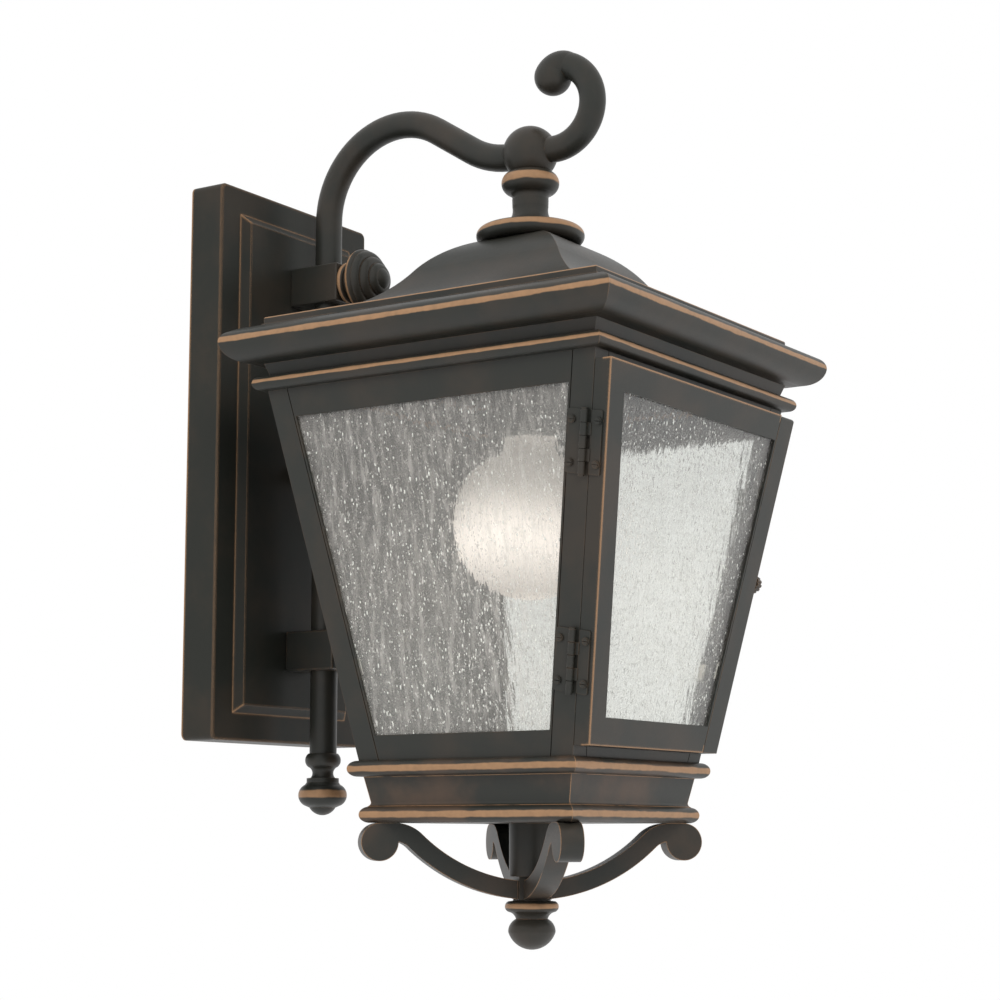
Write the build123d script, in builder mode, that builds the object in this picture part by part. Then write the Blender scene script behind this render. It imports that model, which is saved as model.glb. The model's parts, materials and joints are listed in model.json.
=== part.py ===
from build123d import *

import os
from math import atan, atan2, cos, pi, radians, sin

os.makedirs("parts", exist_ok=True)

# Outdoor wall lantern. Millimetres, +Z up.
# The wall is the plane y = 0, the lantern hangs in front of it at -Y,
# and the origin is the middle of the backplate, on the wall.

# ---------------------------------------------------------------- driving dimensions
# wall side
PLATE_WIDTH = 124.0
PLATE_HEIGHT = 288.0
PLATE_DEPTH = 20.5
PLATE_CORNER = 3.5
PLATE_SHEET = 2.0
PANEL_WIDTH = 94.0
PANEL_HEIGHT = 260.0
PANEL_RISE = 4.2
PLATE_FRONT = PLATE_DEPTH + PANEL_RISE
PLATE_INSIDE = PLATE_FRONT - PLATE_SHEET

BAR_CENTRE_Z = 25.0
BAR_WIDTH = 24.0
BAR_LENGTH = 110.0
BAR_SHEET = 2.0
WALL_SCREW_SPACING = 84.0
SLOT_LENGTH = 14.0
SLOT_WIDTH = 4.6
STUD_SPACING = 56.0
STUD_RADIUS = 2.0
CABLE_ENTRY_RADIUS = 5.5

# arm
ROD_Y = 42.5
TUBE_RADIUS = 7.0
TUBE_BORE = 5.0
ARM_BEND = 45.5
ARM_TURN = 123.0
ARM_SPRING_Z = 133.1
ROD_BOTTOM_Z = -149.6
SLIDE_FIT = 0.03

BLOCK_WIDTH = 20.0
BLOCK_HEIGHT = 20.6
BLOCK_FRONT = 55.5
UPPER_BLOCK_Z = 97.3
LOWER_BLOCK_Z = -96.6
BLOCK_SCREW_OFFSET = 6.8

# lantern, seen from above a square centred on this axis
AXIS_Y = 170.0
BALL_Z = 149.6
BALL_RADIUS = 14.0
BODY_TOP_Z = 22.0
BODY_BOTTOM_Z = -156.2
BODY_TOP_HALF = 92.5
BODY_BOTTOM_HALF = 59.9
SHEET = 1.2
STILE_WIDTH = 11.5
WINDOW_MARGIN = 13.0
WINDOW_TOP_Z = 8.3
WINDOW_BOTTOM_Z = -144.5
GLASS = 2.5
GLASS_OVERLAP = 2.5
SEAM_WIDTH = 0.5
SEAM_DEPTH = 0.7

DOOR_DEPTH = 8.5
DOOR_GAP = 0.3
DOOR_TOP_Z = 17.0
DOOR_BOTTOM_Z = -151.7
DOOR_WINDOW_TOP_Z = 4.0
DOOR_WINDOW_BOTTOM_Z = -139.0
LATCH_STILE = 14.0

HINGE_HEIGHT = 29.0
HINGE_MIDDLES_Z = (-19.0, -114.5)
HINGE_INSET = 2.7
KNUCKLE_RADIUS = 1.7
KNUCKLE_PROUD = 2.05
PIN_RADIUS = 0.85
LEAF_SHEET = 0.8

NIPPLE_RADIUS = 5.0
NIPPLE_BORE = 3.2
LEAD_RADIUS = 2.0
LEAD_BEND = 6.0

BULB_BOTTOM_Z = -77.0
BULB_RADIUS = 38.0
CAP_RADIUS = 13.1
HOLDER_BOTTOM_Z = 5.0
HOLDER_TOP_Z = 50.0

STRAP_WIDTH = 11.0
STRAP_THICKNESS = 8.8
HUB_RADIUS = 10.9
BASE_UNDERSIDE_Z = -185.6
BOSS_TOP_Z = -211.0
BOSS_BOTTOM_Z = -221.9
CENTRE_STUD_RADIUS = 3.0

# ---------------------------------------------------------------- planes and helpers
SLOPE = (BODY_TOP_HALF - BODY_BOTTOM_HALF) / (BODY_TOP_Z - BODY_BOTTOM_Z)
TILT = atan(SLOPE)
UP = Vector(0, 0, 1)
OUTWARD = {
    "front": Vector(0, -1, 0),
    "right": Vector(1, 0, 0),
    "back": Vector(0, 1, 0),
    "left": Vector(-1, 0, 0),
}
# each corner: the wall whose +x end it is, and the wall whose -x end it is
CORNERS = {
    "front_left": ("left", "front"),
    "front_right": ("front", "right"),
    "back_right": ("right", "back"),
    "back_left": ("back", "left"),
}
REACH = 130.0
OVERRUN = 3.0

WALL = Plane(origin=(0, 0, 0), x_dir=(1, 0, 0), z_dir=(0, -1, 0))
FRONT = Plane(origin=(0, -AXIS_Y, 0), x_dir=(1, 0, 0), z_dir=(0, -1, 0))
SIDE = Plane(origin=(0, -AXIS_Y, 0), x_dir=(0, 1, 0), z_dir=(1, 0, 0))


def half_at(z):
    """Half the width of the tapering body at height z."""
    return BODY_BOTTOM_HALF + SLOPE * (z - BODY_BOTTOM_Z)


def up_slope(z):
    """Height z measured along a sloping wall."""
    return z / cos(TILT)


def wall_plane(side, proud=0.0):
    """Plane of a sloping wall: local x is level, local y runs up the slope."""
    out = OUTWARD[side]
    origin = Vector(0, -AXIS_Y, 0) + out * (half_at(0) + proud)
    return Plane(origin=origin, x_dir=UP.cross(out), z_dir=out * cos(TILT) - UP * sin(TILT))


def tapered(z_low, z_high, left_inset, right_inset):
    """Corners of a wall area whose upright edges run parallel to the body's corners."""
    return [
        (left_inset - half_at(z_low), up_slope(z_low)),
        (half_at(z_low) - right_inset, up_slope(z_low)),
        (half_at(z_high) - right_inset, up_slope(z_high)),
        (left_inset - half_at(z_high), up_slope(z_high)),
    ]


def edge_strip(z_low, z_high, end, outer, inner):
    """Corners of a strip along one upright edge, from inset outer to inset inner."""
    return [
        (end * (half_at(z_low) - outer), up_slope(z_low)),
        (end * (half_at(z_high) - outer), up_slope(z_high)),
        (end * (half_at(z_high) - inner), up_slope(z_high)),
        (end * (half_at(z_low) - inner), up_slope(z_low)),
    ]


def tip_arc(start_radius, start_height, tip_height):
    """Arc from a profile point to the turning axis, centred on the axis so the tip is round."""
    rise = start_height - tip_height
    centre = (start_radius**2 + start_height**2 - tip_height**2) / (2 * rise)
    radius = abs(tip_height - centre)
    start_angle = atan2(start_height - centre, start_radius)
    tip_angle = pi / 2 if tip_height > centre else -pi / 2
    middle = (start_angle + tip_angle) / 2
    return ThreePointArc(
        (start_radius, start_height),
        (radius * cos(middle), centre + radius * sin(middle)),
        (0, tip_height),
    )


def save(piece, name):
    """Name a finished piece and write it."""
    piece.part.label = name
    export_step(piece.part, f"parts/{name}.step")


def square_turned(outline):
    """Four-sided solid that shows the same outline from the front and from the side."""
    with BuildPart() as block:
        with BuildSketch(FRONT):
            add(outline)
        extrude(amount=REACH, both=True)
        with BuildSketch(SIDE):
            add(outline)
        extrude(amount=REACH, both=True, mode=Mode.INTERSECT)
    return block.part


# ---------------------------------------------------------------- backplate and wall fixings
STUD_HEIGHTS = (BAR_CENTRE_Z - STUD_SPACING / 2, BAR_CENTRE_Z + STUD_SPACING / 2)
BLOCK_SCREW_HEIGHTS = [
    middle + offset
    for middle in (UPPER_BLOCK_Z, LOWER_BLOCK_Z)
    for offset in (-BLOCK_SCREW_OFFSET, BLOCK_SCREW_OFFSET)
]
STUD_CLEARANCE = 2.3
LEAD_HOLE = 3.2

with BuildPart() as backplate:
    with BuildSketch(WALL):
        RectangleRounded(PLATE_WIDTH, PLATE_HEIGHT, PLATE_CORNER)
    extrude(amount=PLATE_DEPTH)
    fillet(backplate.faces().sort_by(Axis.Y)[0].edges(), 1.2)
    with BuildSketch(WALL.offset(PLATE_DEPTH)):
        Rectangle(PANEL_WIDTH, PANEL_HEIGHT)
    with BuildSketch(WALL.offset(PLATE_FRONT)):
        Rectangle(PANEL_WIDTH - 2 * PANEL_RISE, PANEL_HEIGHT - 2 * PANEL_RISE)
    loft()
    fillet(backplate.faces().sort_by(Axis.Y)[0].edges(), 0.8)
    with BuildSketch(WALL):
        Rectangle(PLATE_WIDTH - 2 * PLATE_SHEET, PLATE_HEIGHT - 2 * PLATE_SHEET)
    extrude(amount=PLATE_DEPTH - PLATE_SHEET, mode=Mode.SUBTRACT)
    with BuildSketch(WALL.offset(PLATE_DEPTH - PLATE_SHEET)):
        Rectangle(PANEL_WIDTH - 2 * PLATE_SHEET, PANEL_HEIGHT - 2 * PLATE_SHEET)
    with BuildSketch(WALL.offset(PLATE_INSIDE)):
        Rectangle(
            PANEL_WIDTH - 2 * PLATE_SHEET - 2 * PANEL_RISE,
            PANEL_HEIGHT - 2 * PLATE_SHEET - 2 * PANEL_RISE,
        )
    loft(mode=Mode.SUBTRACT)
    with BuildSketch(WALL.offset(PLATE_DEPTH - PLATE_SHEET)):
        with Locations(*[(0, z) for z in STUD_HEIGHTS]):
            Circle(STUD_CLEARANCE)
        with Locations(*[(0, z) for z in BLOCK_SCREW_HEIGHTS]):
            Circle(STUD_RADIUS + 0.1)
        with Locations((0, UPPER_BLOCK_Z)):
            Circle(LEAD_HOLE)
    extrude(amount=PANEL_RISE + PLATE_SHEET, mode=Mode.SUBTRACT)
save(backplate, "backplate")

GASKET_WIDTH = 4.0
with BuildPart() as wall_gasket:
    with BuildSketch(WALL):
        Rectangle(PLATE_WIDTH - 2 * PLATE_SHEET - 0.1, PLATE_HEIGHT - 2 * PLATE_SHEET - 0.1)
        Rectangle(
            PLATE_WIDTH - 2 * PLATE_SHEET - 2 * GASKET_WIDTH,
            PLATE_HEIGHT - 2 * PLATE_SHEET - 2 * GASKET_WIDTH,
            mode=Mode.SUBTRACT,
        )
    extrude(amount=3.0)
save(wall_gasket, "wall_gasket")

EARTH_SPOT = (7.0, BAR_CENTRE_Z + 13.0)
with BuildPart() as mounting_bar:
    with BuildSketch(WALL):
        with Locations((0, BAR_CENTRE_Z)):
            RectangleRounded(BAR_WIDTH, BAR_LENGTH, 3.0)
            Circle(CABLE_ENTRY_RADIUS, mode=Mode.SUBTRACT)
            with GridLocations(0, WALL_SCREW_SPACING, 1, 2):
                SlotOverall(SLOT_LENGTH, SLOT_WIDTH, rotation=90, mode=Mode.SUBTRACT)
            with GridLocations(0, STUD_SPACING, 1, 2):
                Circle(STUD_RADIUS + 0.02, mode=Mode.SUBTRACT)
        with Locations(EARTH_SPOT):
            Circle(1.6, mode=Mode.SUBTRACT)
    extrude(amount=BAR_SHEET)
save(mounting_bar, "mounting_bar")

STUD_TIP = PLATE_FRONT + 5.0
with BuildPart() as bar_studs:
    with BuildSketch(WALL.offset(0.2)):
        with Locations(*[(0, z) for z in STUD_HEIGHTS]):
            Circle(STUD_RADIUS)
    extrude(amount=STUD_TIP - 0.2)
save(bar_studs, "bar_studs")

with BuildPart() as cap_nuts:
    for height in STUD_HEIGHTS:
        with BuildSketch(WALL.offset(PLATE_FRONT)):
            with Locations((0, height)):
                RegularPolygon(4.6, 6)
        extrude(amount=4.0)
        with BuildSketch(WALL.offset(PLATE_FRONT + 4.0)):
            with Locations((0, height)):
                Circle(3.9)
        with BuildSketch(WALL.offset(PLATE_FRONT + 7.4)):
            with Locations((0, height)):
                Circle(2.0)
        loft()
        with BuildSketch(WALL.offset(PLATE_FRONT)):
            with Locations((0, height)):
                Circle(STUD_RADIUS + 0.02)
        extrude(amount=5.4, mode=Mode.SUBTRACT)
save(cap_nuts, "cap_nuts")

TERMINAL_Z = 72.0
TERMINAL_DEPTH = 12.0
TERMINAL_HEIGHT = 16.0
with BuildPart() as terminal_block:
    with BuildSketch(WALL.offset(PLATE_INSIDE - TERMINAL_DEPTH)):
        with Locations((0, TERMINAL_Z)):
            Rectangle(27.0, TERMINAL_HEIGHT)
    extrude(amount=TERMINAL_DEPTH)
    fillet(terminal_block.edges().filter_by(Axis.Y), 1.5)
    with BuildSketch(WALL.offset(PLATE_INSIDE - TERMINAL_DEPTH)):
        with Locations((0, TERMINAL_Z)):
            with GridLocations(9.0, 8.0, 3, 2):
                Circle(1.8)
    extrude(amount=3.5, mode=Mode.SUBTRACT)
    with BuildSketch(Plane.XY.offset(TERMINAL_Z - TERMINAL_HEIGHT / 2)):
        with Locations((0, -(PLATE_INSIDE - TERMINAL_DEPTH / 2))):
            with GridLocations(9.0, 0, 3, 1):
                Circle(1.6)
    extrude(amount=5.0, mode=Mode.SUBTRACT)
    with BuildSketch(Plane.XY.offset(TERMINAL_Z + TERMINAL_HEIGHT / 2)):
        with Locations((0, -(PLATE_INSIDE - TERMINAL_DEPTH / 2))):
            Circle(LEAD_RADIUS + 0.1)
    extrude(amount=-5.0, mode=Mode.SUBTRACT)
save(terminal_block, "terminal_block")

with BuildPart() as earth_screw:
    with BuildSketch(WALL.offset(0.2)):
        with Locations(EARTH_SPOT):
            Circle(1.55)
    extrude(amount=BAR_SHEET - 0.2)
    with BuildSketch(WALL.offset(BAR_SHEET)):
        with Locations(EARTH_SPOT):
            Circle(3.4)
    extrude(amount=2.2)
    with BuildSketch(WALL.offset(BAR_SHEET + 1.4)):
        with Locations(EARTH_SPOT):
            Rectangle(6.8, 0.9)
    extrude(amount=0.8, mode=Mode.SUBTRACT)
save(earth_screw, "earth_screw")

# ---------------------------------------------------------------- arm blocks, clamp knob, arm
ROD_AXIS_XY = (0, -ROD_Y)


def arm_block(middle_z):
    """Block that stands off the backplate and holds the upright rod."""
    with BuildPart() as block:
        with BuildSketch(WALL.offset(PLATE_FRONT)):
            with Locations((0, middle_z)):
                Rectangle(BLOCK_WIDTH, BLOCK_HEIGHT)
        extrude(amount=BLOCK_FRONT - PLATE_FRONT)
        fillet(block.edges(), 1.0)
        with BuildSketch(Plane.XY.offset(middle_z - BLOCK_HEIGHT)):
            with Locations(ROD_AXIS_XY):
                Circle(TUBE_RADIUS + SLIDE_FIT)
        extrude(amount=2 * BLOCK_HEIGHT, mode=Mode.SUBTRACT)
        with BuildSketch(WALL.offset(PLATE_FRONT)):
            with Locations((0, middle_z)):
                with GridLocations(0, 2 * BLOCK_SCREW_OFFSET, 1, 2):
                    Circle(STUD_RADIUS + 0.02)
        extrude(amount=8.8, mode=Mode.SUBTRACT)
    return block.part


KNOB_SHANK = 3.0
with BuildPart() as upper_arm_block:
    add(arm_block(UPPER_BLOCK_Z))
    with BuildSketch(WALL.offset(PLATE_FRONT)):
        with Locations((0, UPPER_BLOCK_Z)):
            Circle(LEAD_HOLE)
    extrude(amount=12.0, mode=Mode.SUBTRACT)
    with BuildSketch(WALL.offset(ROD_Y)):
        with Locations((0, UPPER_BLOCK_Z)):
            Circle(KNOB_SHANK + SLIDE_FIT)
    extrude(amount=20.0, mode=Mode.SUBTRACT)
save(upper_arm_block, "upper_arm_block")

with BuildPart() as lower_arm_block:
    add(arm_block(LOWER_BLOCK_Z))
save(lower_arm_block, "lower_arm_block")

with BuildPart() as block_screws:
    with BuildSketch(WALL.offset(PLATE_INSIDE - 2.2)):
        with Locations(*[(0, z) for z in BLOCK_SCREW_HEIGHTS]):
            Circle(3.3)
    extrude(amount=2.2)
    with BuildSketch(WALL.offset(PLATE_INSIDE)):
        with Locations(*[(0, z) for z in BLOCK_SCREW_HEIGHTS]):
            Circle(STUD_RADIUS)
    extrude(amount=PLATE_SHEET + 8.0)
    with BuildSketch(WALL.offset(PLATE_INSIDE - 2.2)):
        with Locations(*[(0, z) for z in BLOCK_SCREW_HEIGHTS]):
            Rectangle(6.6, 0.9)
    extrude(amount=0.9, mode=Mode.SUBTRACT)
save(block_screws, "block_screws")

# knob profile: x is the radius, y is the distance in front of the block
KNOB_AXIS = Plane(
    origin=(0, -BLOCK_FRONT, UPPER_BLOCK_Z), x_dir=(1, 0, 0), z_dir=(0, 0, 1)
)
KNOB_SHANK_LENGTH = BLOCK_FRONT - ROD_Y - TUBE_RADIUS
with BuildPart() as clamp_knob:
    with BuildSketch(KNOB_AXIS):
        with BuildLine():
            Polyline((0, KNOB_SHANK_LENGTH), (KNOB_SHANK, KNOB_SHANK_LENGTH), (KNOB_SHANK, 0), (9.2, 0))
            ThreePointArc((9.2, 0), (11.4, -2.1), (9.6, -4.2))
            ThreePointArc((9.6, -4.2), (8.8, -6.2), (10.4, -8.4))
            Line((10.4, -8.4), (14.6, -9.4))
            ThreePointArc((14.6, -9.4), (17.0, -11.4), (15.8, -13.6))
            ThreePointArc((15.8, -13.6), (14.8, -16.0), (12.4, -16.6))
            ThreePointArc((12.4, -16.6), (11.0, -19.4), (8.6, -20.0))
            ThreePointArc((8.6, -20.0), (7.6, -22.4), (5.4, -23.4))
            tip_arc(5.4, -23.4, -25.6)
            Line((0, -25.6), (0, KNOB_SHANK_LENGTH))
        make_face()
    revolve(axis=Axis((0, -BLOCK_FRONT, UPPER_BLOCK_Z), (0, 1, 0)))
save(clamp_knob, "clamp_knob")

ARM_REVERSE = ARM_TURN - 90.0
ARM_DROP = ARM_SPRING_Z + ARM_BEND - BALL_Z
ARM_STRAIGHT = (ARM_DROP - 2 * ARM_BEND * (1 - cos(radians(ARM_REVERSE)))) / sin(
    radians(ARM_REVERSE)
)


def arm_bends(rise, far_end):
    """Continue a line that climbs the rod over the arm's two bends, as far as y = -far_end."""
    over = JernArc(start=rise @ 1, tangent=rise % 1, radius=ARM_BEND, arc_size=ARM_TURN)
    fall = PolarLine(start=over @ 1, length=ARM_STRAIGHT, direction=over % 1)
    level = JernArc(start=fall @ 1, tangent=fall % 1, radius=ARM_BEND, arc_size=-ARM_REVERSE)
    return Line(level @ 1, (-far_end, BALL_Z))


ARM_SOCKET_Y = 163.0
with BuildPart() as arm_tube:
    with BuildLine(Plane.YZ):
        rod_line = Line((-ROD_Y, ROD_BOTTOM_Z), (-ROD_Y, ARM_SPRING_Z))
        arm_bends(rod_line, ARM_SOCKET_Y)
    with BuildSketch(Plane(origin=(0, -ROD_Y, ROD_BOTTOM_Z), z_dir=(0, 0, 1))):
        Circle(TUBE_RADIUS)
        Circle(TUBE_BORE, mode=Mode.SUBTRACT)
    sweep()
    with BuildSketch(WALL.offset(ROD_Y - TUBE_RADIUS - 1)):
        with Locations((0, UPPER_BLOCK_Z)):
            Circle(LEAD_HOLE)
    extrude(amount=TUBE_RADIUS, mode=Mode.SUBTRACT)
save(arm_tube, "arm_tube")

# rod finial profile: x is the radius, y is the height
ROD_AXIS = Plane(origin=(0, -ROD_Y, 0), x_dir=(1, 0, 0), z_dir=(0, -1, 0))
SPIGOT_TOP_Z = ROD_BOTTOM_Z + 12.0
with BuildPart() as rod_finial:
    with BuildSketch(ROD_AXIS):
        with BuildLine():
            Polyline(
                (0, SPIGOT_TOP_Z),
                (TUBE_BORE - SLIDE_FIT, SPIGOT_TOP_Z),
                (TUBE_BORE - SLIDE_FIT, ROD_BOTTOM_Z),
                (7.6, ROD_BOTTOM_Z),
            )
            ThreePointArc((7.6, ROD_BOTTOM_Z), (9.2, -153.1), (7.6, -156.4))
            ThreePointArc((7.6, -156.4), (5.4, -159.4), (6.4, -162.0))
            Polyline((6.4, -162.0), (8.3, -162.2), (8.3, -164.4), (9.2, -165.6))
            ThreePointArc((9.2, -165.6), (12.5, -170.8), (8.6, -176.4))
            Line((8.6, -176.4), (6.7, -177.2))
            tip_arc(6.7, -177.2, -181.1)
            Line((0, -181.1), (0, SPIGOT_TOP_Z))
        make_face()
    revolve(axis=Axis((0, -ROD_Y, 0), (0, 0, 1)))
save(rod_finial, "rod_finial")

# ---------------------------------------------------------------- ball, scroll, spool, disc
BALL_CENTRE = (0, -AXIS_Y, BALL_Z)
SCROLL_RADIUS = 6.7
SCROLL_BEND = 21.8
SCROLL_TURN = 160.0
SCROLL_START_Y = 185.0
SCROLL_SPIGOT = 4.0
CURL_BEND = 6.7
CURL_CENTRE = (-190.2, 185.7)
CURL_FROM = 110.0
CURL_TURN = 96.0
CURL_END_RADIUS = 9.5
CURL_STEPS = 14
WIRE_CHAMBER = 4.6

with BuildPart() as ball_coupling:
    with Locations(BALL_CENTRE):
        Sphere(BALL_RADIUS)
    with BuildSketch(WALL.offset(AXIS_Y - BALL_RADIUS - 2)):
        with Locations((0, BALL_Z)):
            Circle(TUBE_RADIUS + SLIDE_FIT)
    extrude(amount=ARM_SOCKET_Y - AXIS_Y + BALL_RADIUS + 2, mode=Mode.SUBTRACT)
    with BuildSketch(WALL.offset(ARM_SOCKET_Y - 0.5)):
        with Locations((0, BALL_Z)):
            Circle(WIRE_CHAMBER)
    extrude(amount=AXIS_Y - ARM_SOCKET_Y + 1.5, mode=Mode.SUBTRACT)
    with BuildSketch(WALL.offset(AXIS_Y + 5.0)):
        with Locations((0, BALL_Z)):
            Circle(SCROLL_SPIGOT + SLIDE_FIT)
    extrude(amount=BALL_RADIUS, mode=Mode.SUBTRACT)
    with BuildSketch(Plane.XY.offset(BALL_Z - BALL_RADIUS)):
        with Locations((0, -AXIS_Y)):
            Circle(NIPPLE_RADIUS + SLIDE_FIT)
    extrude(amount=7.6, mode=Mode.SUBTRACT)
    with BuildSketch(Plane.XY.offset(BALL_Z - 7.0)):
        with Locations((0, -AXIS_Y)):
            Circle(WIRE_CHAMBER)
    extrude(amount=8.0, mode=Mode.SUBTRACT)
save(ball_coupling, "ball_coupling")

with BuildPart() as scroll_end:
    with BuildLine(Plane.YZ):
        reach_out = Line((-AXIS_Y - 9.0, BALL_Z), (-SCROLL_START_Y, BALL_Z))
        hook = JernArc(
            start=reach_out @ 1,
            tangent=reach_out % 1,
            radius=SCROLL_BEND,
            arc_size=-SCROLL_TURN,
        )
    with BuildSketch(Plane(origin=(0, -AXIS_Y - 9.0, BALL_Z), z_dir=(0, -1, 0))):
        Circle(SCROLL_RADIUS)
    sweep()
    for step in range(CURL_STEPS + 1):
        share = step / CURL_STEPS
        angle = radians(CURL_FROM - share * CURL_TURN)
        curl_y = CURL_CENTRE[0] + CURL_BEND * cos(angle)
        curl_z = CURL_CENTRE[1] + CURL_BEND * sin(angle)
        with Locations((0, curl_y, curl_z)):
            Sphere(SCROLL_RADIUS + share * (CURL_END_RADIUS - SCROLL_RADIUS))
    with Locations(BALL_CENTRE):
        Sphere(BALL_RADIUS, mode=Mode.SUBTRACT)
    with BuildSketch(WALL.offset(AXIS_Y + 5.2)):
        with Locations((0, BALL_Z)):
            Circle(SCROLL_SPIGOT)
    extrude(amount=10.0)
save(scroll_end, "scroll_end")

SPOOL_BOTTOM_Z = 111.0
DISC_BOTTOM_Z = 102.3
LANTERN_AXIS = Axis((0, -AXIS_Y, 0), (0, 0, 1))
STACK_BORE = NIPPLE_RADIUS + 0.05

with BuildPart() as neck_spool:
    with BuildSketch(FRONT):
        with BuildLine():
            Polyline((STACK_BORE, 139.4), (STACK_BORE, SPOOL_BOTTOM_Z), (16.5, SPOOL_BOTTOM_Z))
            ThreePointArc((16.5, SPOOL_BOTTOM_Z), (10.6, 114.6), (9.1, 121.5))
            Line((9.1, 121.5), (9.2, 125.4))
            ThreePointArc((9.2, 125.4), (9.7, 127.6), (11.4, 128.6))
            ThreePointArc((11.4, 128.6), (14.6, 133.4), (11.0, 139.4))
            Line((11.0, 139.4), (STACK_BORE, 139.4))
        make_face()
    revolve(axis=LANTERN_AXIS)
    with Locations(BALL_CENTRE):
        Sphere(BALL_RADIUS, mode=Mode.SUBTRACT)
save(neck_spool, "neck_spool")

with BuildPart() as roof_disc:
    with BuildSketch(FRONT):
        with BuildLine():
            Polyline((STACK_BORE, SPOOL_BOTTOM_Z), (STACK_BORE, DISC_BOTTOM_Z), (23.2, DISC_BOTTOM_Z))
            ThreePointArc((23.2, DISC_BOTTOM_Z), (27.3, 106.4), (23.0, 110.6))
            Line((23.0, 110.6), (19.0, SPOOL_BOTTOM_Z))
            Line((19.0, SPOOL_BOTTOM_Z), (STACK_BORE, SPOOL_BOTTOM_Z))
        make_face()
    revolve(axis=LANTERN_AXIS)
save(roof_disc, "roof_disc")

NIPPLE_TOP_Z = 143.0
NIPPLE_BOTTOM_Z = 46.0
with BuildPart() as threaded_nipple:
    with BuildSketch(Plane.XY.offset(NIPPLE_BOTTOM_Z)):
        with Locations((0, -AXIS_Y)):
            Circle(NIPPLE_RADIUS)
            Circle(NIPPLE_BORE, mode=Mode.SUBTRACT)
    extrude(amount=NIPPLE_TOP_Z - NIPPLE_BOTTOM_Z)
save(threaded_nipple, "threaded_nipple")

# ---------------------------------------------------------------- roof and mouldings
ROOF_SHEET = 1.5
ROOF_FOOT_Z = 55.2
ROOF_FOOT_HALF = 94.3
ROOF_TOP_HALF = 19.5


def roof_outline():
    """Ogee silhouette of the roof: flared foot, hollow sweep, rounded shoulder, flat top."""
    with BuildSketch() as outline:
        with BuildLine():
            Line((0, ROOF_FOOT_Z), (ROOF_FOOT_HALF, ROOF_FOOT_Z))
            Line((ROOF_FOOT_HALF, ROOF_FOOT_Z), (ROOF_FOOT_HALF, 57.8))
            ThreePointArc((ROOF_FOOT_HALF, 57.8), (93.9, 58.5), (93.0, 58.7))
            ThreePointArc((93.0, 58.7), (63.0, 66.9), (41.5, 86.3))
            ThreePointArc((41.5, 86.3), (32.0, 95.6), (ROOF_TOP_HALF, DISC_BOTTOM_Z))
            Line((ROOF_TOP_HALF, DISC_BOTTOM_Z), (0, DISC_BOTTOM_Z))
            mirror(about=Plane.YZ)
        make_face()
    return outline.sketch


def roof_cavity():
    """The same silhouette one sheet thickness in, open at the foot."""
    with BuildSketch() as outline:
        with BuildLine():
            Line((0, ROOF_FOOT_Z), (ROOF_FOOT_HALF - ROOF_SHEET, ROOF_FOOT_Z))
            Line((ROOF_FOOT_HALF - ROOF_SHEET, ROOF_FOOT_Z), (ROOF_FOOT_HALF - ROOF_SHEET, 57.1))
            ThreePointArc((ROOF_FOOT_HALF - ROOF_SHEET, 57.1), (62.3, 65.5), (40.5, 85.2))
            ThreePointArc((40.5, 85.2), (31.3, 94.3), (19.0, DISC_BOTTOM_Z - ROOF_SHEET))
            Line((19.0, DISC_BOTTOM_Z - ROOF_SHEET), (0, DISC_BOTTOM_Z - ROOF_SHEET))
            mirror(about=Plane.YZ)
        make_face()
    return outline.sketch


with BuildPart() as roof_shell:
    add(square_turned(roof_outline()))
    add(square_turned(roof_cavity()), mode=Mode.SUBTRACT)
    with BuildSketch(Plane.XY.offset(DISC_BOTTOM_Z - 5)):
        with Locations((0, -AXIS_Y)):
            Circle(STACK_BORE)
    extrude(amount=10, mode=Mode.SUBTRACT)
save(roof_shell, "roof_shell")

with BuildPart() as nipple_nut:
    with BuildSketch(Plane.XY.offset(DISC_BOTTOM_Z - ROOF_SHEET - 4.5)):
        with Locations((0, -AXIS_Y)):
            RegularPolygon(9.2, 6)
            Circle(NIPPLE_RADIUS + 0.02, mode=Mode.SUBTRACT)
    extrude(amount=4.5)
save(nipple_nut, "nipple_nut")

FRIEZE_BOTTOM_Z = 28.9
EAVE_SHEET = 1.6
EAVE_HALF = 110.0
EAVE_OPENING = 2 * 84.0


def eave_outline():
    """Silhouette of the eave: plain frieze, hollow underside, rounded nose, stepped top."""
    with BuildSketch() as outline:
        with BuildLine():
            Line((0, FRIEZE_BOTTOM_Z), (91.6, FRIEZE_BOTTOM_Z))
            Line((91.6, FRIEZE_BOTTOM_Z), (94.0, 35.4))
            Line((94.0, 35.4), (98.6, 35.7))
            ThreePointArc((98.6, 35.7), (106.4, 38.2), (EAVE_HALF, 44.6))
            ThreePointArc((EAVE_HALF, 44.6), (109.3, 48.2), (106.4, 50.6))
            ThreePointArc((106.4, 50.6), (102.0, 52.6), (97.4, 53.6))
            Polyline((97.4, 53.6), (95.4, 53.7), (95.0, ROOF_FOOT_Z), (0, ROOF_FOOT_Z))
            mirror(about=Plane.YZ)
        make_face()
    return outline.sketch


def eave_cavity():
    """Hollow inside the folded eave moulding."""
    with BuildSketch() as outline:
        with BuildLine():
            Line((0, FRIEZE_BOTTOM_Z + EAVE_SHEET), (90.4, FRIEZE_BOTTOM_Z + EAVE_SHEET))
            Line((90.4, FRIEZE_BOTTOM_Z + EAVE_SHEET), (92.8, 36.9))
            Line((92.8, 36.9), (98.4, 37.2))
            ThreePointArc((98.4, 37.2), (105.2, 39.4), (108.4, 44.8))
            ThreePointArc((108.4, 44.8), (107.8, 47.5), (105.6, 49.2))
            ThreePointArc((105.6, 49.2), (101.6, 51.0), (97.2, 52.0))
            Polyline((97.2, 52.0), (93.6, 52.4), (93.4, ROOF_FOOT_Z - 1.4), (0, ROOF_FOOT_Z - 1.4))
            mirror(about=Plane.YZ)
        make_face()
    return outline.sketch


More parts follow.
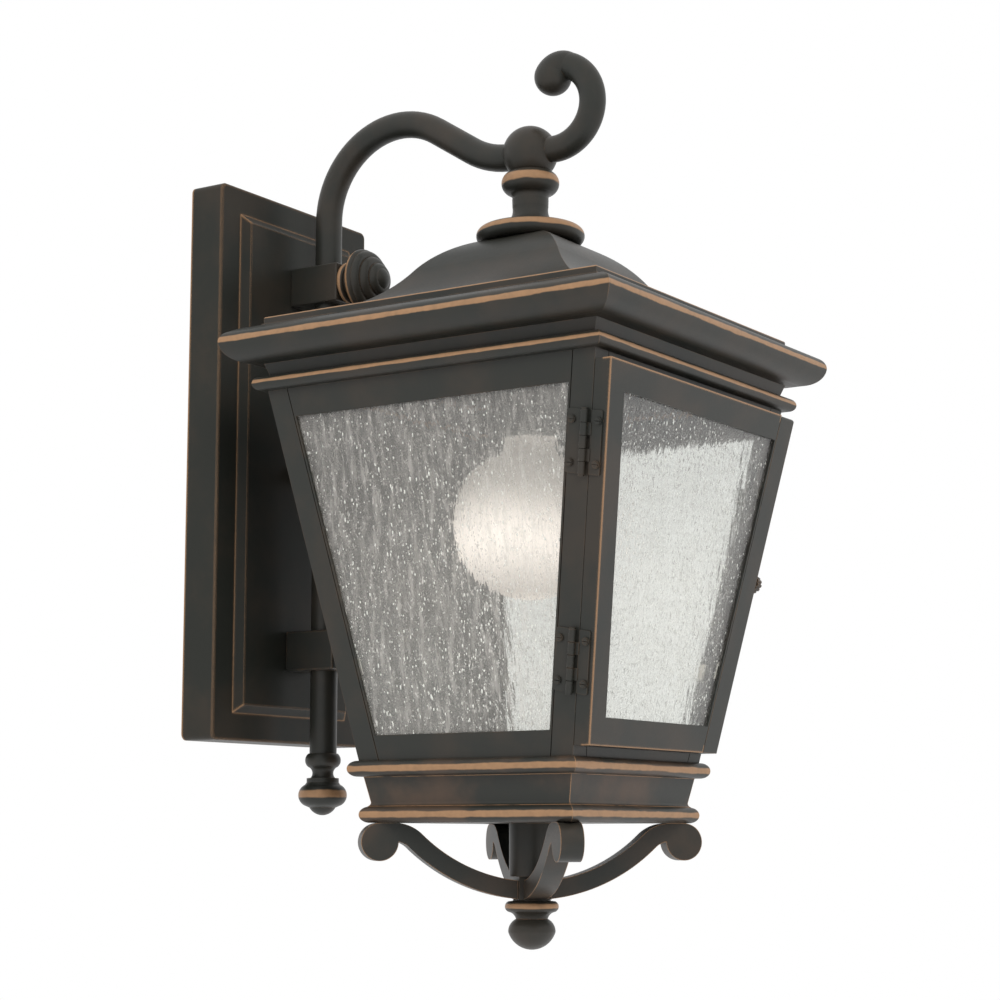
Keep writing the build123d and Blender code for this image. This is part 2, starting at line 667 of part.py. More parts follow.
with BuildPart() as eave_moulding:
    add(square_turned(eave_outline()))
    add(square_turned(eave_cavity()), mode=Mode.SUBTRACT)
    with BuildSketch(Plane.XY.offset(FRIEZE_BOTTOM_Z - 1)):
        with Locations((0, -AXIS_Y)):
            Rectangle(EAVE_OPENING, EAVE_OPENING)
    extrude(amount=40, mode=Mode.SUBTRACT)
save(eave_moulding, "eave_moulding")


def bead_outline(low_z, high_z, flat_half, nose_half):
    """Silhouette of a square bead: flat above and below, half round at its edge."""
    middle_z = (low_z + high_z) / 2
    with BuildSketch() as outline:
        with BuildLine():
            Line((0, low_z), (flat_half, low_z))
            ThreePointArc((flat_half, low_z), (nose_half, middle_z), (flat_half, high_z))
            Line((flat_half, high_z), (0, high_z))
            mirror(about=Plane.YZ)
        make_face()
    return outline.sketch


BEAD_RING = {
    "top_bead": (BODY_TOP_Z, FRIEZE_BOTTOM_Z, 94.8, 98.2, 90.0),
    "base_top_bead": (-163.8, BODY_BOTTOM_Z, 60.3, 64.0, 54.0),
}
for bead_name, (low_z, high_z, flat_half, nose_half, inner_half) in BEAD_RING.items():
    with BuildPart() as bead:
        add(square_turned(bead_outline(low_z, high_z, flat_half, nose_half)))
        with BuildSketch(Plane.XY.offset(low_z)):
            with Locations((0, -AXIS_Y)):
                Rectangle(2 * inner_half, 2 * inner_half)
        extrude(amount=high_z - low_z, mode=Mode.SUBTRACT)
    save(bead, bead_name)

BAND_TOP_Z = -163.8
BAND_BOTTOM_Z = -177.9
BAND_SHEET = 1.5


def band_outline(inset):
    """Silhouette of the base band: a plain taper with a small hollow at its foot."""
    with BuildSketch() as outline:
        with BuildLine():
            Line((0, BAND_TOP_Z), (58.2 - inset, BAND_TOP_Z))
            Line((58.2 - inset, BAND_TOP_Z), (55.7 - inset, -175.6))
            ThreePointArc((55.7 - inset, -175.6), (55.9 - inset, -177.0), (57.0 - inset, BAND_BOTTOM_Z))
            Line((57.0 - inset, BAND_BOTTOM_Z), (0, BAND_BOTTOM_Z))
            mirror(about=Plane.YZ)
        make_face()
    return outline.sketch


with BuildPart() as base_band:
    add(square_turned(band_outline(0)))
    add(square_turned(band_outline(BAND_SHEET)), mode=Mode.SUBTRACT)
save(base_band, "base_band")

BASE_PLATE_SHEET = 1.6
with BuildPart() as base_bottom_bead:
    add(square_turned(bead_outline(BASE_UNDERSIDE_Z, BAND_BOTTOM_Z, 56.4, 59.8)))
    with BuildSketch(Plane.XY.offset(BASE_UNDERSIDE_Z + BASE_PLATE_SHEET)):
        with Locations((0, -AXIS_Y)):
            Rectangle(104.0, 104.0)
    extrude(amount=10, mode=Mode.SUBTRACT)
    with BuildSketch(Plane.XY.offset(BASE_UNDERSIDE_Z)):
        with Locations((0, -AXIS_Y)):
            Circle(CENTRE_STUD_RADIUS + 0.2)
    extrude(amount=5, mode=Mode.SUBTRACT)
save(base_bottom_bead, "base_bottom_bead")

# ---------------------------------------------------------------- body walls
HINGE_CORNER = Vector(-half_at(0), -AXIS_Y - half_at(0), 0)
HINGE_LINE = Vector(-SLOPE, -SLOPE, 1)
HINGE_FACE = OUTWARD["left"] * cos(TILT) - UP * sin(TILT)


def hinge_plane(middle_z):
    """Plane on the left wall: local y runs up the corner edge, local x = 0 is the hinge line."""
    edge = HINGE_CORNER + HINGE_LINE * middle_z
    across = HINGE_LINE.normalized().cross(HINGE_FACE).normalized()
    return Plane(origin=edge - across * HINGE_INSET, x_dir=across, z_dir=HINGE_FACE)


LEAF_REACH = 8.7
SCREW_ACROSS = 6.8
SCREW_ALONG = 9.7
SCREW_SHANK = 1.2
LATCH_Z = -66.0
LATCH_PROUD = 4.2
LATCH_SHANK = 1.5


def trim_walls(z_low, z_high):
    """Cut the sheets being built level at their top and bottom."""
    split(bisect_by=Plane.XY.offset(z_high), keep=Keep.BOTTOM)
    split(bisect_by=Plane.XY.offset(z_low), keep=Keep.TOP)


def latch_spot():
    """Place of the latch screw's axis on the right wall's plane."""
    return (-(half_at(LATCH_Z) + LATCH_PROUD), up_slope(LATCH_Z))


for corner, (first, second) in CORNERS.items():
    with BuildPart() as stile:
        for side, end in ((first, 1), (second, -1)):
            with BuildSketch(wall_plane(side)):
                low_z = BODY_BOTTOM_Z - OVERRUN
                high_z = BODY_TOP_Z + OVERRUN
                Polygon(*edge_strip(low_z, high_z, end, 0, STILE_WIDTH), align=None)
            extrude(amount=-SHEET)
        trim_walls(BODY_BOTTOM_Z, BODY_TOP_Z)
        if corner == "front_left":
            for middle_z in HINGE_MIDDLES_Z:
                with BuildSketch(hinge_plane(middle_z)):
                    with Locations((-SCREW_ACROSS, -SCREW_ALONG), (-SCREW_ACROSS, SCREW_ALONG)):
                        Circle(SCREW_SHANK + 0.02)
                extrude(amount=-2 * SHEET, mode=Mode.SUBTRACT)
        if corner == "front_right":
            lug_base = -half_at(LATCH_Z) + 0.8
            lug_tip = -half_at(LATCH_Z) - 5.8
            with BuildSketch(wall_plane("right").offset(-2.3)):
                with Locations(((lug_base + lug_tip) / 2, up_slope(LATCH_Z))):
                    Rectangle(lug_base - lug_tip, 10.0)
                with Locations(latch_spot()):
                    Circle(LATCH_SHANK + 0.4, mode=Mode.SUBTRACT)
                    with Locations((-4.0, 0)):
                        Rectangle(8.0, 2 * LATCH_SHANK + 0.8, mode=Mode.SUBTRACT)
            extrude(amount=-1.4)
    save(stile, f"stile_{corner}")


def wall_frame(side):
    """Sheet between two stiles with a window in it and a fine rebate along each seam."""
    with BuildPart() as frame:
        with BuildSketch(wall_plane(side)):
            low_z = BODY_BOTTOM_Z - OVERRUN
            high_z = BODY_TOP_Z + OVERRUN
            Polygon(*tapered(low_z, high_z, STILE_WIDTH, STILE_WIDTH), align=None)
            window = tapered(WINDOW_BOTTOM_Z, WINDOW_TOP_Z, WINDOW_MARGIN, WINDOW_MARGIN)
            Polygon(*window, align=None, mode=Mode.SUBTRACT)
        extrude(amount=-SHEET)
        with BuildSketch(wall_plane(side)):
            for end in (-1, 1):
                seam = edge_strip(low_z, high_z, end, STILE_WIDTH, STILE_WIDTH + SEAM_WIDTH)
                Polygon(*seam, align=None)
        extrude(amount=-SEAM_DEPTH, mode=Mode.SUBTRACT)
        trim_walls(BODY_BOTTOM_Z, BODY_TOP_Z)
    return frame


save(wall_frame("left"), "side_panel_left")
save(wall_frame("right"), "side_panel_right")
save(wall_frame("front"), "front_panel")

with BuildPart() as back_panel:
    with BuildSketch(wall_plane("back")):
        low_z = BODY_BOTTOM_Z - OVERRUN
        high_z = BODY_TOP_Z + OVERRUN
        Polygon(*tapered(low_z, high_z, STILE_WIDTH, STILE_WIDTH), align=None)
    extrude(amount=-SHEET)
    with BuildSketch(wall_plane("back")):
        for end in (-1, 1):
            seam = edge_strip(low_z, high_z, end, STILE_WIDTH, STILE_WIDTH + SEAM_WIDTH)
            Polygon(*seam, align=None)
    extrude(amount=-SEAM_DEPTH, mode=Mode.SUBTRACT)
    trim_walls(BODY_BOTTOM_Z, BODY_TOP_Z)
save(back_panel, "back_panel")

PANE_INSET = WINDOW_MARGIN - GLASS_OVERLAP
for side in ("left", "right"):
    with BuildPart() as pane:
        with BuildSketch(wall_plane(side).offset(-SHEET)):
            low_z = WINDOW_BOTTOM_Z - GLASS_OVERLAP
            high_z = WINDOW_TOP_Z + GLASS_OVERLAP
            Polygon(*tapered(low_z, high_z, PANE_INSET, PANE_INSET), align=None)
        extrude(amount=-GLASS)
    save(pane, f"glass_{side}")

CLIP_WIDTH = 8.0
CLIP_SHEET = 0.8
CLIP_HEIGHTS_Z = (-22.0, -112.0)


def clip_area(z, end, outer, inner):
    """Upright strip CLIP_WIDTH tall along one edge, for a clip at height z."""
    return edge_strip(z - CLIP_WIDTH / 2, z + CLIP_WIDTH / 2, end, outer, inner)


with BuildPart() as glass_clips:
    for side in ("left", "right"):
        back_of_sheet = wall_plane(side).offset(-SHEET)
        for end in (-1, 1):
            for height in CLIP_HEIGHTS_Z:
                with BuildSketch(back_of_sheet):
                    Polygon(*clip_area(height, end, PANE_INSET - 3.0, PANE_INSET - 0.2), align=None)
                extrude(amount=-GLASS)
                with BuildSketch(back_of_sheet.offset(-GLASS)):
                    Polygon(*clip_area(height, end, PANE_INSET - 3.0, PANE_INSET + 2.2), align=None)
                extrude(amount=-CLIP_SHEET)
save(glass_clips, "glass_clips")

# ---------------------------------------------------------------- door
DOOR_FACE = wall_plane("front", proud=DOOR_DEPTH)
DOOR_WINDOW_LEFT = 13.0
DOOR_WINDOW_RIGHT = LATCH_STILE + 1.5
FLAT_SHEET = SHEET / cos(TILT)


def door_section(z, left, right, back, front):
    """Rectangle across the door at height z, from insets off the corners and distances proud."""
    half = half_at(z)
    with BuildSketch(Plane.XY.offset(z)) as section:
        with Locations(((left - right) / 2, -AXIS_Y - half - (back + front) / 2)):
            Rectangle(2 * half - left - right, front - back)
    return section.sketch


def door_block(low_z, high_z, left, right, back, front):
    """Tapering block lying on the front wall."""
    with BuildPart() as block:
        add(door_section(low_z, left, right, back, front))
        add(door_section(high_z, left, right, back, front))
        loft(ruled=True)
    return block.part


with BuildPart() as door_frame:
    add(door_block(DOOR_BOTTOM_Z, DOOR_TOP_Z, 0, 0, DOOR_GAP, DOOR_DEPTH))
    add(
        door_block(
            DOOR_BOTTOM_Z + SHEET,
            DOOR_TOP_Z - SHEET,
            FLAT_SHEET,
            1,
            0,
            DOOR_DEPTH - FLAT_SHEET,
        ),
        mode=Mode.SUBTRACT,
    )
    with BuildSketch(DOOR_FACE.offset(5)):
        low_z = DOOR_BOTTOM_Z - 3 * OVERRUN
        high_z = DOOR_TOP_Z + 3 * OVERRUN
        Polygon(*tapered(low_z, high_z, -9, LATCH_STILE), align=None)
    extrude(amount=-3 * DOOR_DEPTH, mode=Mode.INTERSECT)
    with BuildSketch(DOOR_FACE):
        window = tapered(
            DOOR_WINDOW_BOTTOM_Z, DOOR_WINDOW_TOP_Z, DOOR_WINDOW_LEFT, DOOR_WINDOW_RIGHT
        )
        Polygon(*window, align=None)
    extrude(amount=-2 * SHEET, mode=Mode.SUBTRACT)
    with BuildSketch(DOOR_FACE):
        low_z = DOOR_BOTTOM_Z - OVERRUN
        high_z = DOOR_TOP_Z + OVERRUN
        Polygon(*edge_strip(low_z, high_z, 1, LATCH_STILE, LATCH_STILE + SEAM_WIDTH), align=None)
    extrude(amount=-SEAM_DEPTH, mode=Mode.SUBTRACT)
    for middle_z in HINGE_MIDDLES_Z:
        with BuildSketch(hinge_plane(middle_z)):
            with Locations((SCREW_ACROSS, -SCREW_ALONG), (SCREW_ACROSS, SCREW_ALONG)):
                Circle(SCREW_SHANK + 0.02)
        extrude(amount=-2 * SHEET, mode=Mode.SUBTRACT)
save(door_frame, "door_frame")

with BuildPart() as door_latch_stile:
    add(door_block(DOOR_BOTTOM_Z, DOOR_TOP_Z, 0, 0, DOOR_GAP, DOOR_DEPTH))
    with BuildSketch(DOOR_FACE.offset(5)):
        low_z = DOOR_BOTTOM_Z - 3 * OVERRUN
        high_z = DOOR_TOP_Z + 3 * OVERRUN
        Polygon(*edge_strip(low_z, high_z, 1, -9, LATCH_STILE), align=None)
    extrude(amount=-3 * DOOR_DEPTH, mode=Mode.INTERSECT)
    outer_edges = door_latch_stile.faces().sort_by(Axis.Y)[0].edges()
    fillet(outer_edges.sort_by(Axis.X)[1:], 1.5)
    add(
        door_block(
            DOOR_BOTTOM_Z + SHEET,
            DOOR_TOP_Z - SHEET,
            1,
            FLAT_SHEET,
            0,
            DOOR_DEPTH - FLAT_SHEET,
        ),
        mode=Mode.SUBTRACT,
    )
    with BuildSketch(wall_plane("right").offset(2)):
        with Locations(latch_spot()):
            Circle(LATCH_SHANK + 0.1)
    extrude(amount=-6, mode=Mode.SUBTRACT)
save(door_latch_stile, "door_latch_stile")

with BuildPart() as door_glass:
    with BuildSketch(DOOR_FACE.offset(-SHEET)):
        pane = tapered(
            DOOR_WINDOW_BOTTOM_Z - GLASS_OVERLAP,
            DOOR_WINDOW_TOP_Z + GLASS_OVERLAP,
            DOOR_WINDOW_LEFT - GLASS_OVERLAP,
            DOOR_WINDOW_RIGHT - GLASS_OVERLAP,
        )
        Polygon(*pane, align=None)
    extrude(amount=-GLASS)
save(door_glass, "door_glass")

with BuildPart() as door_glass_clips:
    back_of_door = DOOR_FACE.offset(-SHEET)
    for end, margin in ((-1, DOOR_WINDOW_LEFT), (1, DOOR_WINDOW_RIGHT)):
        pane_edge = margin - GLASS_OVERLAP
        for height in CLIP_HEIGHTS_Z:
            with BuildSketch(back_of_door):
                Polygon(*clip_area(height, end, pane_edge - 3.0, pane_edge - 0.2), align=None)
            extrude(amount=-GLASS)
            with BuildSketch(back_of_door.offset(-GLASS)):
                Polygon(*clip_area(height, end, pane_edge - 3.0, pane_edge + 2.2), align=None)
            extrude(amount=-CLIP_SHEET)
save(door_glass_clips, "door_glass_clips")

# ---------------------------------------------------------------- hinges and latch
KNUCKLES = 5
KNUCKLE_GAP = 0.3
KNUCKLE_PITCH = (HINGE_HEIGHT + KNUCKLE_GAP) / KNUCKLES
KNUCKLE_LENGTH = KNUCKLE_PITCH - KNUCKLE_GAP


def leaves(side, plate_inner, plate_outer, web_low, owned, bore):
    """One hinge leaf of each hinge: plate, webs and the knuckles it owns."""
    with BuildPart() as leaf:
        for middle_z in HINGE_MIDDLES_Z:
            base = hinge_plane(middle_z)
            with BuildSketch(base):
                with Locations((side * (plate_inner + plate_outer) / 2, 0)):
                    RectangleRounded(plate_outer - plate_inner, HINGE_HEIGHT, 0.8)
                with Locations(
                    (side * SCREW_ACROSS, -SCREW_ALONG), (side * SCREW_ACROSS, SCREW_ALONG)
                ):
                    Circle(SCREW_SHANK + 0.02, mode=Mode.SUBTRACT)
            extrude(amount=LEAF_SHEET)
            across_knuckle = Plane(
                origin=base.origin + base.z_dir * KNUCKLE_PROUD - base.y_dir * HINGE_HEIGHT / 2,
                x_dir=base.x_dir,
                z_dir=base.y_dir,
            )
            for position in owned:
                along = -HINGE_HEIGHT / 2 + position * KNUCKLE_PITCH
                with BuildSketch(base.offset(web_low)):
                    with Locations((side * (plate_inner + 0.4) / 2, along + KNUCKLE_LENGTH / 2)):
                        Rectangle(plate_inner + 0.4, KNUCKLE_LENGTH)
                extrude(amount=LEAF_SHEET)
                with BuildSketch(across_knuckle.offset(position * KNUCKLE_PITCH)):
                    Circle(KNUCKLE_RADIUS)
                extrude(amount=KNUCKLE_LENGTH)
            with BuildSketch(across_knuckle.offset(-1)):
                Circle(bore)
            extrude(amount=HINGE_HEIGHT + 2, mode=Mode.SUBTRACT)
    return leaf


save(leaves(-1, 2.2, LEAF_REACH, 0, (0, 2, 4), PIN_RADIUS + 0.02), "body_hinge_leaves")
save(leaves(1, 3.0, LEAF_REACH, 0.4, (1, 3), PIN_RADIUS + 0.05), "door_hinge_leaves")

with BuildPart() as hinge_pins:
    for middle_z in HINGE_MIDDLES_Z:
        base = hinge_plane(middle_z)
        foot = Plane(
            origin=base.origin + base.z_dir * KNUCKLE_PROUD - base.y_dir * HINGE_HEIGHT / 2,
            x_dir=base.x_dir,
            z_dir=base.y_dir,
        )
        with BuildSketch(foot.offset(-0.8)):
            Circle(PIN_RADIUS)
        extrude(amount=HINGE_HEIGHT + 1.6)
        for height in (-0.8, HINGE_HEIGHT):
            with BuildSketch(foot.offset(height)):
                Circle(1.4)
            extrude(amount=0.8)
save(hinge_pins, "hinge_pins")


def hinge_screws(side, shank_length):
    """The four slotted round-head screws of one set of leaves."""
    with BuildPart() as screws:
        for middle_z in HINGE_MIDDLES_Z:
            head_seat = hinge_plane(middle_z).offset(LEAF_SHEET)
            spots = ((side * SCREW_ACROSS, -SCREW_ALONG), (side * SCREW_ACROSS, SCREW_ALONG))
            with BuildSketch(head_seat):
                with Locations(*spots):
                    Circle(1.85)
            extrude(amount=0.9)
            with BuildSketch(head_seat.offset(0.9)):
                with Locations(*spots):
                    Circle(1.4)
            extrude(amount=0.4)
            with BuildSketch(head_seat):
                with Locations(*spots):
                    Circle(SCREW_SHANK)
            extrude(amount=-shank_length)
            with BuildSketch(head_seat.offset(0.6)):
                with Locations(*spots):
                    Rectangle(4.0, 0.5)
            extrude(amount=1.0, mode=Mode.SUBTRACT)
    return screws


save(hinge_screws(-1, LEAF_SHEET + SHEET - 0.05), "body_hinge_screws")
save(hinge_screws(1, LEAF_SHEET + 3.0), "door_hinge_screws")

with BuildPart() as latch_thumbscrew:
    right_wall = wall_plane("right")
    for start, length, radius in (
        (-4.6, 9.8, LATCH_SHANK),
        (-4.6, 0.8, 2.6),
        (-1.85, 0.5, 2.4),
        (0.1, 1.3, 2.8),
        (1.4, 3.8, 4.6),
    ):
        with BuildSketch(right_wall.offset(start)):
            with Locations(latch_spot()):
                Circle(radius)
        extrude(amount=length)
    with BuildSketch(right_wall.offset(1.4)):
        with Locations(latch_spot()):
            with PolarLocations(4.6, 12):
                Circle(0.55)
    extrude(amount=3.8, mode=Mode.SUBTRACT)
save(latch_thumbscrew, "latch_thumbscrew")

# ---------------------------------------------------------------- base
FLOOR_SHEET = 1.25
with BuildPart() as floor_plate:
    with BuildSketch(Plane.XY.offset(BODY_BOTTOM_Z)):
        with Locations((0, -AXIS_Y)):
            Rectangle(116.0, 116.0)
            Circle(CENTRE_STUD_RADIUS + 0.1, mode=Mode.SUBTRACT)
    extrude(amount=FLOOR_SHEET)
save(floor_plate, "floor_plate")

STUD_TOP_Z = -147.0
STUD_BOTTOM_Z = -240.0
with BuildPart() as centre_stud:
    with BuildSketch(Plane.XY.offset(STUD_BOTTOM_Z)):
        with Locations((0, -AXIS_Y)):
            Circle(CENTRE_STUD_RADIUS)
    extrude(amount=STUD_TOP_Z - STUD_BOTTOM_Z)
save(centre_stud, "centre_stud")

NUT_FOOT_Z = BODY_BOTTOM_Z + FLOOR_SHEET
with BuildPart() as stud_cap_nut:
    with BuildSketch(Plane.XY.offset(NUT_FOOT_Z)):
        with Locations((0, -AXIS_Y)):
            Circle(11.0)
    extrude(amount=1.2)
    with BuildSketch(Plane.XY.offset(NUT_FOOT_Z + 1.2)):
        with Locations((0, -AXIS_Y)):
            RegularPolygon(6.6, 6)
    extrude(amount=5.0)
    with BuildSketch(FRONT):
        with BuildLine():
            Line((0, NUT_FOOT_Z + 4.0), (5.6, NUT_FOOT_Z + 4.0))
            Line((5.6, NUT_FOOT_Z + 4.0), (5.6, NUT_FOOT_Z + 7.4))
            tip_arc(5.6, NUT_FOOT_Z + 7.4, NUT_FOOT_Z + 13.2)
            Line((0, NUT_FOOT_Z + 13.2), (0, NUT_FOOT_Z + 4.0))
        make_face()
    revolve(axis=LANTERN_AXIS)
    with BuildSketch(Plane.XY.offset(NUT_FOOT_Z)):
        with Locations((0, -AXIS_Y)):
            Circle(CENTRE_STUD_RADIUS + 0.02)
    extrude(amount=STUD_TOP_Z - NUT_FOOT_Z + 0.2, mode=Mode.SUBTRACT)
save(stud_cap_nut, "stud_cap_nut")

BOSS_SIZE = 16.0
with BuildPart() as hub_post:
    with BuildSketch(Plane.XY.offset(BOSS_TOP_Z)):
        with Locations((0, -AXIS_Y)):
            Circle(HUB_RADIUS)
    extrude(amount=BASE_UNDERSIDE_Z - BOSS_TOP_Z)
    with BuildSketch(Plane.XY.offset(BOSS_BOTTOM_Z)):
        with Locations((0, -AXIS_Y)):
            Rectangle(BOSS_SIZE, BOSS_SIZE, rotation=45)
    extrude(amount=BOSS_TOP_Z - BOSS_BOTTOM_Z)
    with BuildSketch(Plane.XY.offset(BOSS_BOTTOM_Z)):
        with Locations((0, -AXIS_Y)):
            Circle(CENTRE_STUD_RADIUS + 0.1)
    extrude(amount=BASE_UNDERSIDE_Z - BOSS_BOTTOM_Z, mode=Mode.SUBTRACT)
save(hub_post, "hub_post")

STRAP_LEVEL_Z = BASE_UNDERSIDE_Z - STRAP_THICKNESS / 2
STRAP_RISE = 6.0
STRAP_SWEEP = 38.0
STRAP_STEEPEST = radians(STRAP_RISE + STRAP_SWEEP)
STRAP_ROOT = 3.0
STRAP_LIFT_BEND = 84.0
STRAP_EASE_BEND = 15.0
STRAP_START_Z = (
    STRAP_LEVEL_Z
    - STRAP_ROOT * sin(radians(STRAP_RISE))
    - STRAP_LIFT_BEND * (cos(radians(STRAP_RISE)) - cos(STRAP_STEEPEST))
    - STRAP_EASE_BEND * (1 - cos(STRAP_STEEPEST))
)
CURL_RADIUS = 9.0
CURL_OUT = 75.0
STRAP_ANGLES = {"front_right": -45.0, "back_right": 45.0, "back_left": 135.0, "front_left": 225.0}
for corner, angle in STRAP_ANGLES.items():
    outward = Vector(cos(radians(angle)), sin(radians(angle)), 0)
    strap_plane = Plane(origin=(0, -AXIS_Y, 0), x_dir=outward, z_dir=outward.cross(UP))
    with BuildPart() as strap:
        with BuildSketch(strap_plane):
            with BuildLine():
                root = PolarLine(
                    start=(5.0, STRAP_START_Z), length=STRAP_ROOT, angle=STRAP_RISE
                )
                lift = JernArc(
                    start=root @ 1,
                    tangent=root % 1,
                    radius=STRAP_LIFT_BEND,
                    arc_size=STRAP_SWEEP,
                )
                ease = JernArc(
                    start=lift @ 1,
                    tangent=lift % 1,
                    radius=STRAP_EASE_BEND,
                    arc_size=-(STRAP_RISE + STRAP_SWEEP),
                )
                Line(ease @ 1, (CURL_OUT, (ease @ 1).Y))
            trace(line_width=STRAP_THICKNESS)
            with Locations((CURL_OUT, BASE_UNDERSIDE_Z - CURL_RADIUS)):
                Circle(CURL_RADIUS)
        extrude(amount=STRAP_WIDTH / 2, both=True)
        with BuildSketch(Plane.XY.offset(BOSS_BOTTOM_Z - 5)):
            with Locations((0, -AXIS_Y)):
                Rectangle(BOSS_SIZE, BOSS_SIZE, rotation=45)
        extrude(amount=30, mode=Mode.SUBTRACT)
        with BuildSketch(Plane.XY.offset(BOSS_TOP_Z)):
            with Locations((0, -AXIS_Y)):
                Circle(HUB_RADIUS)
        extrude(amount=20, mode=Mode.SUBTRACT)
    save(strap, f"scroll_strap_{corner}")

with BuildPart() as bottom_finial:
    with BuildSketch(FRONT):
        with BuildLine():
            Line((0, BOSS_BOTTOM_Z), (9.0, BOSS_BOTTOM_Z))
            Line((9.0, BOSS_BOTTOM_Z), (9.2, -222.6))
            Line((9.2, -222.6), (11.4, -222.9))
            ThreePointArc((11.4, -222.9), (13.0, -225.3), (10.8, -228.0))
            ThreePointArc((10.8, -228.0), (8.6, -229.4), (7.7, -231.2))
            ThreePointArc((7.7, -231.2), (10.7, -234.2), (11.4, -237.4))
            tip_arc(11.4, -237.4, -245.8)
            Line((0, -245.8), (0, BOSS_BOTTOM_Z))
        make_face()
    revolve(axis=LANTERN_AXIS)
    with BuildSketch(Plane.XY.offset(BOSS_BOTTOM_Z)):
        with Locations((0, -AXIS_Y)):
            Circle(CENTRE_STUD_RADIUS + 0.02)
    extrude(amount=STUD_BOTTOM_Z - BOSS_BOTTOM_Z, mode=Mode.SUBTRACT)
save(bottom_finial, "bottom_finial")

# ---------------------------------------------------------------- lamp
HOLDER_BORE = 13.6
BORE_TOP_Z = 33.0
CHAMBER_BOTTOM_Z = 37.0
with BuildPart() as lampholder_body:
    with BuildSketch(Plane.XY.offset(HOLDER_BOTTOM_Z)):
        with Locations((0, -AXIS_Y)):
            Circle(20.0)
    extrude(amount=HOLDER_TOP_Z - HOLDER_BOTTOM_Z)
    fillet(lampholder_body.edges().group_by(Axis.Z)[-1], 5.0)
    with BuildSketch(Plane.XY.offset(HOLDER_BOTTOM_Z)):
        with Locations((0, -AXIS_Y)):
            Circle(HOLDER_BORE)
    extrude(amount=BORE_TOP_Z - HOLDER_BOTTOM_Z, mode=Mode.SUBTRACT)
    with BuildSketch(Plane.XY.offset(CHAMBER_BOTTOM_Z)):
        with Locations((0, -AXIS_Y)):
            Circle(4.0)
    extrude(amount=NIPPLE_BOTTOM_Z - CHAMBER_BOTTOM_Z, mode=Mode.SUBTRACT)
    with BuildSketch(Plane.XY.offset(NIPPLE_BOTTOM_Z)):
        with Locations((0, -AXIS_Y)):
            Circle(NIPPLE_RADIUS + 0.02)
    extrude(amount=HOLDER_TOP_Z, mode=Mode.SUBTRACT)
save(lampholder_body, "lampholder_body")

CAP_TOP_Z = 30.0
with BuildPart() as lampholder_contact:
    with BuildSketch(Plane.XY.offset(CAP_TOP_Z + 0.3)):
        with Locations((0, -AXIS_Y)):
            Circle(4.5)
    extrude(amount=BORE_TOP_Z - CAP_TOP_Z - 0.3)
save(lampholder_contact, "lampholder_contact")

CAP_BOTTOM_Z = 3.0
BULB_MIDDLE_Z = BULB_BOTTOM_Z + BULB_RADIUS
BULB_GLASS = 1.0
GLOBE_END = 55.0


def globe_point(radius, angle):
    """Point on the globe's outline at an angle above its widest line."""
    return (radius * cos(radians(angle)), BULB_MIDDLE_Z + radius * sin(radians(angle)))


def globe_arc(radius):
    """The globe's outline from its widest line up to where the neck begins."""
    return ThreePointArc(
        globe_point(radius, 0), globe_point(radius, GLOBE_END / 2), globe_point(radius, GLOBE_END)
    )


with BuildPart() as bulb_envelope:
    with BuildSketch(FRONT):
        with BuildLine():
            tip_arc(BULB_RADIUS, BULB_MIDDLE_Z, BULB_BOTTOM_Z)
            globe_arc(BULB_RADIUS)
            shoulder = globe_point(BULB_RADIUS, GLOBE_END)
            ThreePointArc(shoulder, (15.2, -4.6), (12.4, CAP_BOTTOM_Z))
            Line((12.4, CAP_BOTTOM_Z), (12.4 - BULB_GLASS, CAP_BOTTOM_Z))
            inner_shoulder = globe_point(BULB_RADIUS - BULB_GLASS, GLOBE_END)
            ThreePointArc((12.4 - BULB_GLASS, CAP_BOTTOM_Z), (14.2, -5.0), inner_shoulder)
            globe_arc(BULB_RADIUS - BULB_GLASS)
            tip_arc(BULB_RADIUS - BULB_GLASS, BULB_MIDDLE_Z, BULB_BOTTOM_Z + BULB_GLASS)
            Line((0, BULB_BOTTOM_Z + BULB_GLASS), (0, BULB_BOTTOM_Z))
        make_face()
    revolve(axis=LANTERN_AXIS)
save(bulb_envelope, "bulb_envelope")

THREAD_TURNS = 5
THREAD_PITCH = 3.6
THREAD_START_Z = 6.0
THREAD_ROOT = CAP_RADIUS - 0.8
with BuildPart() as bulb_cap:
    with BuildSketch(FRONT):
        with BuildLine():
            Line((THREAD_ROOT - 0.9, CAP_BOTTOM_Z), (CAP_RADIUS, CAP_BOTTOM_Z))
            Line((CAP_RADIUS, CAP_BOTTOM_Z), (THREAD_ROOT, THREAD_START_Z))
            for turn in range(THREAD_TURNS):
                low_z = THREAD_START_Z + turn * THREAD_PITCH
                ThreePointArc(
                    (THREAD_ROOT, low_z),
                    (CAP_RADIUS, low_z + THREAD_PITCH / 2),
                    (THREAD_ROOT, low_z + THREAD_PITCH),
                )
            shoulder_z = THREAD_START_Z + THREAD_TURNS * THREAD_PITCH
            Polyline(
                (THREAD_ROOT, shoulder_z),
                (9.0, 27.5),
                (4.6, 28.6),
                (4.0, CAP_TOP_Z),
                (0, CAP_TOP_Z),
                (0, CAP_TOP_Z - 1.2),
                (3.2, CAP_TOP_Z - 1.2),
                (3.8, 27.4),
                (8.4, 26.4),
                (THREAD_ROOT - 0.9, shoulder_z - 0.4),
                (THREAD_ROOT - 0.9, CAP_BOTTOM_Z),
            )
        make_face()
    revolve(axis=LANTERN_AXIS)
save(bulb_cap, "bulb_cap")

